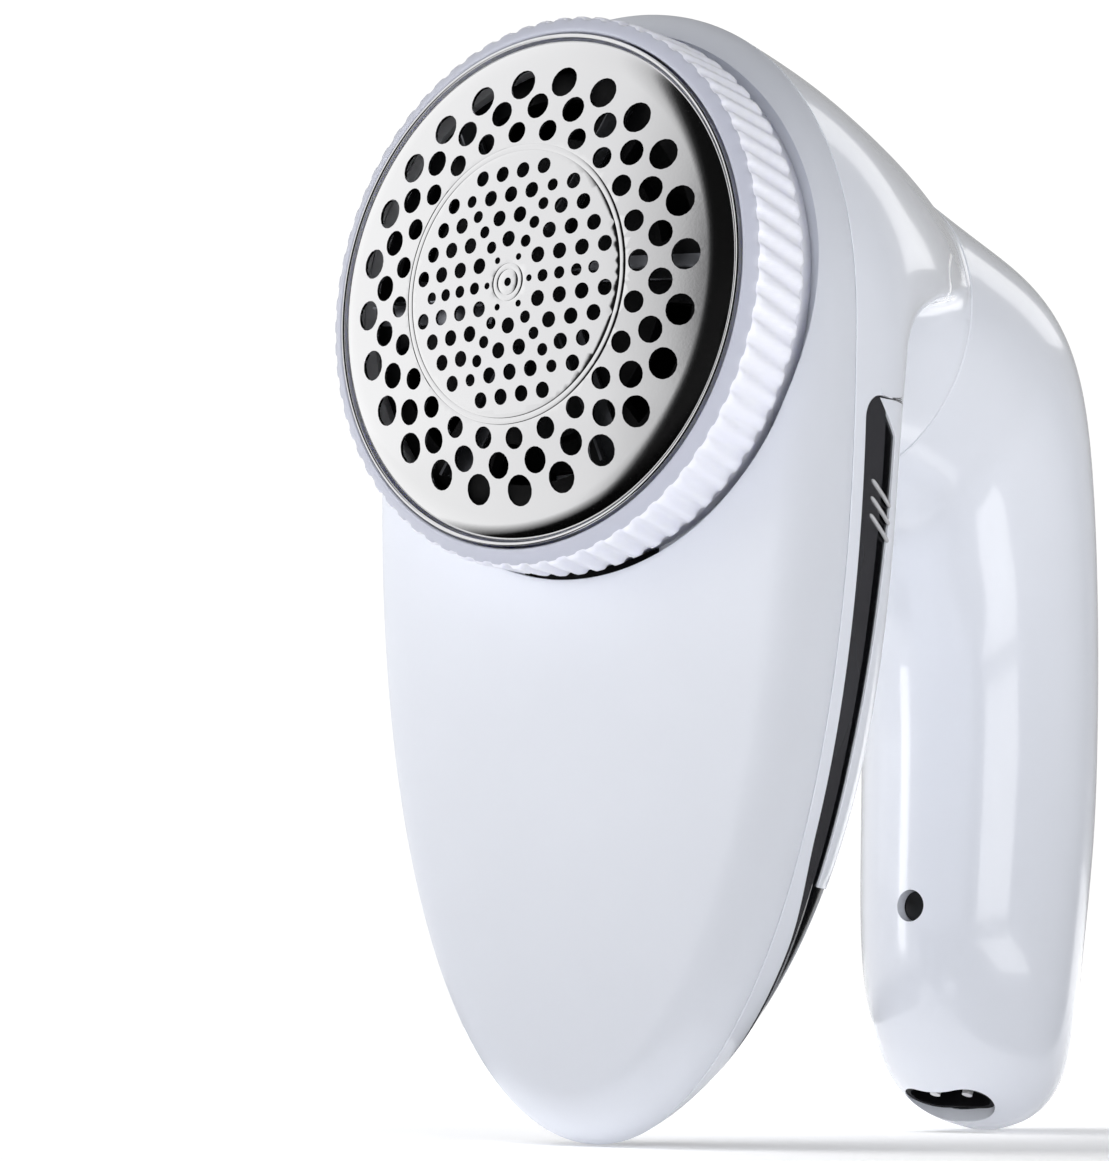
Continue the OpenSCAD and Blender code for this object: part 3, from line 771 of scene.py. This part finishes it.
def handle():
    count = 240
    rings = handle_rings(np.arange(count) * 360 / count)
    end = (len(rings) - 1) * count
    faces = grid_faces(len(rings), count, True) + [tuple(range(end, end + count))]
    obj = build("handle_body", np.concatenate(rings), faces)
    modify(obj, "SOLIDIFY", thickness=WALL / 1000, offset=-1)
    cut_handle(obj)
    with edited(obj.data) as bm:
        bmesh.ops.remove_doubles(bm, verts=bm.verts, dist=2e-6)
        bm.normal_update()
        keep_crisp(bm, 38)
    even_shading(obj)
    piece(obj, "handle", "white_gloss", "handle_shell", "handle_back")


def power_button():
    r, top, flange = BUTTON_R, 6.9, 1.2
    # a dished face, a rounded rim, and the flange that keeps the key in
    line = [(k, top - 0.55 + 0.35 * (k / 4.6) ** 2) for k in (0, 1, 2, 3, 4, 4.6)]
    line += [(4.9, top - 0.08), (5.1, top), (5.3, top - 0.06), (r - 0.05, top - 0.2), (r, top - 0.4)]
    line += [(r, 1.0), (r + flange, 1.0), (r + flange, 0), (r - 1, 0), (r - 1, 1.3), (0, 1.3)]
    obj = lathe("power_key", line, (0, BOARD_Y + 3.2, BUTTON_Z))
    finish_edges(obj, 0.12, 50, 2)
    piece(obj, "button", "button_plastic", "power_button")


def indicator():
    line = [(0, 1.0), (1, 0.9), (1.7, 0.62), (2.15, 0.3), (2.34, 0), (2.36, 0.1), (2.36, 2.2), (0, 2.2)]
    obj = lathe("indicator_light", line, (0, 95.3, LENS_Z), steps=64)
    piece(obj, "handle", "lens", "indicator_lens")


def cross_screws():
    """Two pan-head screws with crossed slots, in one mesh."""
    line = [(0, 1.25), (1.2, 1.2), (1.9, 1.02), (2.2, 0.75), (2.3, 0.5), (2.3, 0.06), (1.15, 0.05),
            (1.15, -5.9), (0, -5.9)]
    slot_half, slot_reach, slot_floor = 0.28, 1.3, 0.45
    bm = bmesh.new()
    for z, seat in SCREWS:
        screw = lathe("screw", line, (0, seat, z), steps=40)
        for a, b in ((slot_half, slot_reach), (slot_reach, slot_half)):
            cut(screw, block("cut_slot", (-a, a), (seat + slot_floor, seat + 3), (z - b, z + b)))
        bm.from_mesh(screw.data)
        bpy.data.objects.remove(screw)
    mesh = bpy.data.meshes.new("cover_screws")
    keep_crisp(bm, 35)
    bm.to_mesh(mesh)
    bm.free()
    piece(add_object("cover_screws", mesh), "handle", "bright_steel", "handle_screws")


# ---- foil and its ring ----------------------------------------------------------------------

def dome_y(r):
    return DOME_TOP + DOME_R - np.sqrt(DOME_R ** 2 - r * r)


def foil_holes():
    """(x, z, radius) of every hole: three outer rows, six spokes and six wedges between them."""
    phase = 1.2
    out = [(0, 0, 0.6)]

    def ring(count, r, d, start):
        for k in range(count):
            a = math.radians(start + k * 360 / count)
            out.append((r * math.cos(a), r * math.sin(a), d / 2))

    ring(24, 28, 4.2, phase)
    ring(24, 24.53, 3.6, phase - 7.5)
    ring(24, 21.06, 3.0, phase)
    ring(6, 3.7, 0.95, phase)
    for k in range(1, 5):
        ring(6, 3.25 + 2.76 * k, 1.7, phase)
    for n in range(1, 5):
        for i in range(n):
            a, b = 2.83 + 3.13 * n, (i - (n - 1) / 2) * 3.62
            ring(6, math.hypot(a, b), 2.2, 30 + phase + math.degrees(math.atan2(b, a)))
    return out


def near_hole(holes, x, z, scale=1.0, margin=0.0):
    """Whether a point lies in a hole whose radius is scaled and widened by a margin."""
    return (np.hypot(holes[:, 0] - x, holes[:, 1] - z) < holes[:, 2] * scale + margin).any()


def dome_mesh(columns):
    """Points and triangles of the dome, with its holes and grooves; columns is the count round its edge."""
    holes = np.array(foil_holes())
    verts, edges = [], []

    def loop(x, z, r, n, phase=0.0):
        start = len(verts)
        for k in range(n):
            a = 2 * math.pi * (k + phase) / n
            verts.append(Vector((x + r * math.cos(a), z + r * math.sin(a))))
        edges.extend((start + k, start + (k + 1) % n) for k in range(n))

    loop(0, 0, EDGE_START, columns)
    for x, z, r in holes:
        loop(x, z, r, 36 if r > 1 else 28)
    for groove in GROOVES:
        for k, offset in enumerate((-GROOVE_HALF, 0, GROOVE_HALF)):
            loop(0, 0, groove + offset, 220 if groove > 10 else 48, 0.5 * (k % 2))
    # a hexagonal scatter of points keeps the triangles even
    step = 0.85
    reach = range(-45, 46)
    for j in reach:
        for i in reach:
            x, z = (i + 0.5 * (j % 2)) * step, j * step * 0.866
            d = math.hypot(x, z)
            if d > EDGE_START - 0.3 or any(abs(d - groove) < 0.35 for groove in GROOVES):
                continue
            if not near_hole(holes, x, z, margin=0.22):
                verts.append(Vector((x, z)))
    verts, _, triangles, _, _, _ = delaunay_2d_cdt(verts, edges, [], 0, 1e-5)
    flat = np.array([(v.x, v.y) for v in verts])
    faces = []
    for triangle in triangles:
        middle = flat[list(triangle)].mean(0)
        if math.hypot(*middle) <= EDGE_START and not near_hole(holes, *middle, scale=0.985):
            faces.append(tuple(triangle))
    r = np.hypot(flat[:, 0], flat[:, 1])
    y = dome_y(r)
    for groove in GROOVES:
        y = y + GROOVE_DEPTH * (np.abs(r - groove) < GROOVE_HALF * 0.4)
    return [(x, depth, z) for (x, z), depth in zip(flat, y)], faces


def rolled_edge():
    """(radius, y) from the dome's rim, which the curve leaves at the dome's own slope, down the skirt."""
    slope = EDGE_START / math.sqrt(DOME_R ** 2 - EDGE_START ** 2)
    first = 0.3
    for _ in range(20):
        wide = (FOIL_R - EDGE_START) / (1 - math.sin(first))
        deep = EDGE_DEPTH / math.cos(first)
        first = math.atan(slope * wide / deep)
    start_y = float(dome_y(EDGE_START))
    line = [(FOIL_R - wide * (1 - math.sin(a)), start_y + EDGE_DEPTH - deep * math.cos(a))
            for a in np.linspace(first, math.pi / 2, 33)]
    return line + [(FOIL_R, 7.9)]


def foil():
    columns = 240
    points, faces = dome_mesh(columns)
    line = rolled_edge()
    faces += shifted(grid_faces(len(line), columns, True), len(points))
    turns = [2 * math.pi * k / columns for k in range(columns)]
    points += [(r * math.cos(a), y, r * math.sin(a)) for r, y in line for a in turns]
    obj = build("foil_sheet", points, faces, weld=WELD)
    with edited(obj.data) as bm:
        bmesh.ops.recalc_face_normals(bm, faces=bm.faces)
        bmesh.ops.delete(bm, geom=[v for v in bm.verts if not v.link_faces], context="VERTS")
        if sum(face.normal.y * face.calc_area() for face in bm.faces) > 0:
            bmesh.ops.reverse_faces(bm, faces=bm.faces)
    modify(obj, "SOLIDIFY", thickness=FOIL_T / 1000, offset=-1)
    settle(obj, 40)
    even_shading(obj, 50)
    piece(obj, "foil_unit", "foil_steel", "foil")
    # a fine rolled hem round the foil
    section = [(FOIL_R + .12 + HEM_R * math.cos(a), 2.15 + HEM_R * math.sin(a))
               for a in np.linspace(0, 2 * math.pi, 17)[:-1]]
    hem = lathe("foil_hem", section, (0, 0, 0), steps=columns, closed=True)
    piece(hem, "foil_unit", "foil_steel")


def foil_ring():
    """The knurled ring: a turned section whose outside is raised in slanted ribs."""
    ribs, per = 72, 14
    count = ribs * per
    rib_height = 0.5
    slant = math.radians(3.2)
    a = np.arange(count) * 2 * math.pi / count
    # (radius, y, share of the rib's height)
    line = [(35.3, 8.2, 0), (35.3, 3.0, 0), (35.33, 2.6, 0), (35.45, 2.35, 0), (35.7, 2.3, 0),
            (36.1, 2.45, 0), (36.6, 2.72, 0), (37.05, 3.05, 0.1), (37.25, 3.3, .5), (37.36, 3.7, .9)]
    line += [(37.38, y, 1) for y in (4.2, 5.5, 7.5, 9.5, 11.2)]
    line += [(37.36, 12.2, .95), (37.25, 12.7, .8), (37.0, 13.0, .5), (36.6, 13.15, 0), (36.5, 13.3, 0),
             (36.5, 15.9, 0), (33.6, 15.9, 0), (33.5, 15.7, 0), (33.5, 8.2, 0)]
    rows = []
    for r, y, height in line:
        phase = (a + slant * (y - 5) / 8.2) * ribs
        wave = np.clip(0.62 + 0.9 * np.cos(phase), 0, 1)
        r = r + rib_height * height * ease(wave)
        rows.append(np.stack([r * np.cos(a), np.full(count, y), r * np.sin(a)], -1))
    faces = grid_faces(len(rows), count, True) + closing_faces(len(rows), count)
    obj = build("knurled_ring", np.concatenate(rows), faces)
    face_outwards(obj)
    even_shading(obj, 50)
    lip_end = 3.3   # the smooth lip in front of the ribs takes painted shade, a darker copy of the ring's plastic
    for face in obj.data.polygons:
        face.material_index = int(face.center.y * 1000 - HEAD_ORIGIN[1] < lip_end)
    piece(obj, "foil_unit", "ring_plastic", "foil_ring", second="ring_painted_shade")


# ---- small marks on the body ------------------------------------------------------------------

def grip_ridges():
    """Three slanted bars on each side of the lint box, laid on its curved flank."""
    flank = np.concatenate([rear(t, np.linspace(0, 2.6, 260)) for t in np.linspace(92, 130, 200)])
    middle_y, top_z, spacing = 26.75, -28.2, 2.3
    tilt = math.radians(-33)
    steps, sides = 24, 16
    points, faces = [], []
    for side in (-1, 1):
        for k in range(3):
            base = len(points)
            for s in np.linspace(-1, 1, steps + 1):
                y = middle_y + RIDGE_REACH * s * math.cos(tilt)
                z = top_z - spacing * k + RIDGE_REACH * s * math.sin(tilt)
                x = flank[np.argmin(np.hypot(flank[:, 1] - y, flank[:, 2] - z)), 0] + 0.05
                r = RIDGE_R * math.sqrt(max(1 - abs(s) ** 8, 0.0004))
                for j in range(sides):
                    b = 2 * math.pi * j / sides
                    over = r * math.sin(b)
                    points.append((side * (x + r * math.cos(b)), y - over * math.sin(tilt),
                                   z + over * math.cos(tilt)))
            ends = [range(sides), range(steps * sides, (steps + 1) * sides)]
            faces += shifted(grid_faces(steps + 1, sides, True) + ends, base)
    obj = build("grip_ridges", points, faces)
    face_outwards(obj)
    # the bars take a light grey, painted highlight
    piece(obj, "lint_unit", "smoke_plastic", look="ridge_painted_highlight")


def stroke(path, half):
    """Points of a flat printed line along (t, u) places on the rear surface, five to a row."""
    points = []
    path = np.array(path)
    for k, (t, u) in enumerate(path):
        here = rear(t, [u])[0]
        normal = np.cross(rear(t + 0.2, [u])[0] - here, rear(t, [u + 0.02])[0] - here)
        normal /= np.linalg.norm(normal)
        if normal @ (here - np.array([0, here[1], JOINT_C[2]])) < 0:
            normal = -normal
        a, b = path[max(k - 1, 0)], path[min(k + 1, len(path) - 1)]
        along = rear(b[0], [b[1]])[0] - rear(a[0], [a[1]])[0]
        side = np.cross(normal, along / np.linalg.norm(along))
        for s, lift in ((-1, -0.05), (-0.8, 0.05), (0, 0.06), (0.8, 0.05), (1, -0.05)):
            points.append(here + side * half * s + normal * lift)
    return points


def swivel_mark():
    """A printed arc with an arrowhead on the neck, which shows the way the handle turns."""
    arc = [(72 + 14 * k, 5.35 - 0.6 * math.sin(math.pi * k)) for k in np.linspace(0, 1, 40)]
    t, u = arc[-1]
    barbs = [[(t - back * k, u + drop * k) for k in np.linspace(1, 0, 8)]
             for back, drop in ((2.6, -0.34), (1.9, 0.34))]
    points, faces = [], []
    for path, half in ((arc, 0.32), (barbs[0], 0.3), (barbs[1], 0.3)):
        faces += shifted(grid_faces(len(path), 5, False), len(points))
        points += stroke(path, half)
    obj = build("swivel_mark", points, faces)
    face_outwards(obj)
    piece(obj, "head", "white_gloss", look="print_white")


# ---- stage: floor, cards, light and camera, in metres ---------------------------------------

AIM = Vector((0.0, 0.0, 0.09))
DARK_SIDE = 75   # azimuth of the room's darkest part
# the floor that the body's tip and the handle's end both rest on
TIP, END = place([0, 20, -114.0]), place([0, 114, -110.8])
FLOOR_TILT = math.atan2(END[2] - TIP[2], END[1] - TIP[1])


def lay(name, points, faces, lift):
    """A flat stage object on the floor; its points are measured from the body's tip."""
    mesh = bpy.data.meshes.new(name)
    mesh.from_pydata([(x, y, 0) for x, y in points], [], faces)
    obj = add_object(name, mesh)
    obj.location = (0, TIP[1], lift)
    obj.rotation_euler = (FLOOR_TILT, 0, 0)
    mat = bpy.data.materials.new(name)
    mat.use_nodes = True
    mesh.materials.append(mat)
    return obj, mat.node_tree


def heading(azimuth, elevation=0):
    """A unit vector; azimuth 0 is in front of the foil and 90 at +X."""
    a, e = math.radians(azimuth), math.radians(elevation)
    return Vector((math.sin(a) * math.cos(e), -math.cos(a) * math.cos(e), math.sin(e)))


def fan(start, end, reach, back=0.0, steps=40):
    """A flat sector between two azimuths, its centre moved back; reach holds (distance, turn) rows."""
    sweep = [mix(start, end, k / steps) for k in range(steps + 1)]
    points = []
    for r, turn in reach:
        for azimuth in sweep:
            spot = heading(azimuth + turn) * r
            points.append((spot.x, back + spot.y))
    return points, grid_faces(len(reach), steps + 1, False)


def distance_ramp(tree, spot, near, far, first, last):
    """A value that goes from first to last between two distances from the body's tip."""
    reach = add_node(tree, "VectorMath", operation="LENGTH")
    glow = add_node(tree, "MapRange", {"From Min": near, "From Max": far, "To Min": first, "To Max": last})
    tree.links.new(spot, reach.inputs[0])
    tree.links.new(reach.outputs["Value"], glow.inputs["Value"])
    return glow.outputs["Result"]


def room_tone(tree, direction):
    """The room's brightness towards a direction: white to the left, dark to the right of the camera."""
    link = tree.links.new
    towards = add_node(tree, "VectorMath", operation="DOT_PRODUCT")
    towards.inputs[1].default_value = heading(DARK_SIDE)
    link(direction, towards.inputs[0])
    ramp = add_node(tree, "ValToRGB")
    stops = ramp.color_ramp.elements
    for position, value in ((0.62, 0.004), (0.57, 0.02), (0.53, 0.16), (0.49, 0.52), (0.40, 0.78)):
        stop = stops.new(position)
        stop.color = (value, value, value * 1.01, 1)
    stops[0].color = (1, 1, 1, 1)
    stops[-1].color = (0.004, 0.004, 0.004, 1)
    half = add_node(tree, "Math", operation="MULTIPLY_ADD")
    half.inputs[1].default_value = 0.5
    half.inputs[2].default_value = 0.5
    link(towards.outputs["Value"], half.inputs[0])
    link(half.outputs["Value"], ramp.inputs["Fac"])
    return ramp.outputs["Color"]


def floor():
    """A pale floor that glows to plain white away from the shaver."""
    _, tree = lay("floor", [(-6, -6), (6, -6), (6, 6), (-6, 6)], [(0, 1, 2, 3)], -0.0002)
    bsdf = tree.nodes["Principled BSDF"]
    set_inputs(bsdf, {"Base Color": (0.95, 0.95, 0.955, 1), "Roughness": 0.8, "Specular IOR Level": 0.1,
                      "Emission Color": (1, 1, 1, 1)})
    spot = add_node(tree, "TexCoord").outputs["Object"]
    glow = distance_ramp(tree, spot, near=0.09, far=0.36, first=0.22, last=1.0)
    tree.links.new(glow, bsdf.inputs["Emission Strength"])


def reflected_card(name, outline, lift, strength):
    """A glowing card over the floor that only reflections see."""
    card, tree = lay(name, *outline, lift)
    for kind in ("camera", "diffuse", "shadow", "transmission", "volume_scatter"):
        setattr(card, "visible_" + kind, False)
    shine = add_node(tree, "Emission", {"Strength": strength})
    tree.links.new(shine.outputs["Emission"], tree.nodes["Material Output"].inputs["Surface"])
    return tree, shine


def cards():
    # the first carries the room's tones on over the floor
    tree, shine = reflected_card("room_card", fan(-140, 165, [(0.03, 0), (9.0, 0)]), 0.004, 1.0)
    spot = add_node(tree, "TexCoord").outputs["Object"]
    unit = add_node(tree, "VectorMath", operation="NORMALIZE")
    tree.links.new(spot, unit.inputs[0])
    tree.links.new(room_tone(tree, unit.outputs["Vector"]), shine.inputs["Color"])
    glow = distance_ramp(tree, spot, near=0.12, far=0.23, first=0.0, last=1.0)
    tree.links.new(glow, shine.inputs["Strength"])
    # and the second carries the right softbox's reflection down the handle
    reach = [(0.13, 24), (0.19, 19), (0.25, 15), (0.4, 9), (0.7, 3), (1.3, 0)]
    reflected_card("streak_card", fan(35, 70, reach, END[1] - TIP[1]), 0.006, 2.2)


def room():
    """The world: soft light, a white background, and a graded room for reflections."""
    world = bpy.data.worlds.new("studio")
    bpy.context.scene.world = world
    world.use_nodes = True
    tree = world.node_tree
    link = tree.links.new
    soft = tree.nodes["Background"]
    set_inputs(soft, {"Color": (0.95, 0.965, 1.0, 1), "Strength": 0.285})
    # reflections see the room dimmer towards the back
    coords = add_node(tree, "TexCoord").outputs["Generated"]
    behind = add_node(tree, "SeparateXYZ")
    dim = add_node(tree, "MapRange", {"From Min": 0.15, "From Max": 0.75, "To Min": 1.05, "To Max": 0.45})
    mirror = add_node(tree, "Background")
    link(coords, behind.inputs[0])
    link(behind.outputs["Y"], dim.inputs["Value"])
    link(dim.outputs["Result"], mirror.inputs["Strength"])
    link(room_tone(tree, coords), mirror.inputs["Color"])
    seen = add_node(tree, "Background", {"Color": (1, 1, 1, 1), "Strength": 1.05})
    path = add_node(tree, "LightPath")
    glossy = add_node(tree, "MixShader")
    choose = add_node(tree, "MixShader")
    link(path.outputs["Is Glossy Ray"], glossy.inputs["Fac"])
    link(soft.outputs["Background"], glossy.inputs[1])
    link(mirror.outputs["Background"], glossy.inputs[2])
    link(path.outputs["Is Camera Ray"], choose.inputs["Fac"])
    link(glossy.outputs["Shader"], choose.inputs[1])
    link(seen.outputs["Background"], choose.inputs[2])
    link(choose.outputs["Shader"], tree.nodes["World Output"].inputs["Surface"])


def area_light(name, azimuth, elevation, distance, size, power):
    """A lamp aimed at the shaver."""
    data = bpy.data.lights.new(name, "AREA")
    data.shape = "RECTANGLE"
    data.size, data.size_y = size
    data.energy = power
    away = heading(azimuth, elevation)
    obj = add_object(name, data)
    obj.location = AIM + away * distance
    obj.rotation_euler = (-away).to_track_quat("-Z", "Y").to_euler()


def link_light(group_name, state, sources, receivers):
    """Makes the sources light only the receivers (INCLUDE) or all but them (EXCLUDE)."""
    group = bpy.data.collections.new(group_name)
    for receiver in receivers:
        group.objects.link(bpy.data.objects[receiver])
    for member in group.collection_objects:
        member.light_linking.link_state = state
    for source in sources:
        bpy.data.objects[source].light_linking.receiver_collection = group


def lamps():
    # azimuth, elevation, distance, size and power of each
    area_light("softbox_right", 54, 15, 1.2, (0.72, 0.7), 3.7)
    area_light("strip_left", -45, 8, 1.2, (0.22, 0.7), 1.7)
    area_light("fill_left", -62, 24, 1.2, (0.9, 0.9), 1.3)
    area_light("strip_back", 179, 31, 1.2, (0.30, 0.48), 0.38)
    area_light("softbox_top", -20, 78, 1.1, (0.8, 0.8), 0.6)
    area_light("floor_lamp", -58, 52, 1.1, (0.7, 0.7), 7.0)
    # the foil mirrors only the room, which grades from white to dark across it
    foil_pieces = ("foil_sheet", "foil_hem")
    link_light("lamps_skip_foil", "EXCLUDE", ("strip_left", "fill_left", "strip_back", "softbox_top"),
               foil_pieces)
    link_light("right_lamp_skips_face", "EXCLUDE", ("softbox_right", "streak_card"),
               foil_pieces + ("front_cover",))
    link_light("floor_lamp_only", "INCLUDE", ("floor_lamp",), ("floor",))


def camera():
    data = bpy.data.cameras.new("camera")
    data.sensor_width = 36
    data.lens = 112.08
    data.clip_start = 0.01
    data.clip_end = 50
    obj = add_object("camera", data)
    obj.location = place([310.478, -359.748, -110.383])
    obj.rotation_euler = [math.radians(a) for a in (98.4323, -1.3282, 39.9489)]
    bpy.context.scene.camera = obj


front_shell()
rear_shell()
lint_box()
handle()
power_button()
indicator()
cross_screws()
foil()
foil_ring()
grip_ridges()
swivel_mark()

floor()
cards()
room()
lamps()
camera()
bpy.context.scene.view_settings.view_transform = "Standard"
